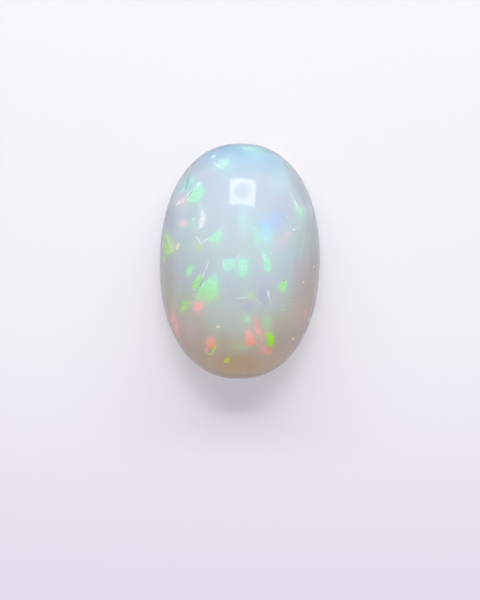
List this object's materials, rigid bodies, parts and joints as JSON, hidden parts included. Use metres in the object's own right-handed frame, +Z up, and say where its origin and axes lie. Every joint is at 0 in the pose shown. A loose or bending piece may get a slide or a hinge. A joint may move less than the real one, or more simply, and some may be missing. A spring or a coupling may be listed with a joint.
{
  "type": "opal cabochon",
  "caption": "Polished oval opal with a high dome and a flat back, milky grey-blue with flakes of green, pink, yellow and blue, resting on its back.",
  "frame": {"origin": "middle of the flat back, on the surface that the stone rests on", "axes": "+Z up through the top of the dome, +Y along the long axis towards the bluer end, +X across the width"},
  "size_m": [0.011, 0.0162, 0.0062],
  "materials": {
    "polished_opal": "high polish on the dome, fine satin on the flat back, milky and slightly translucent, with play of colour"
  },
  "bodies": {
    "root": {"opal_cabochon": "polished_opal"}
  },
  "joints": []
}
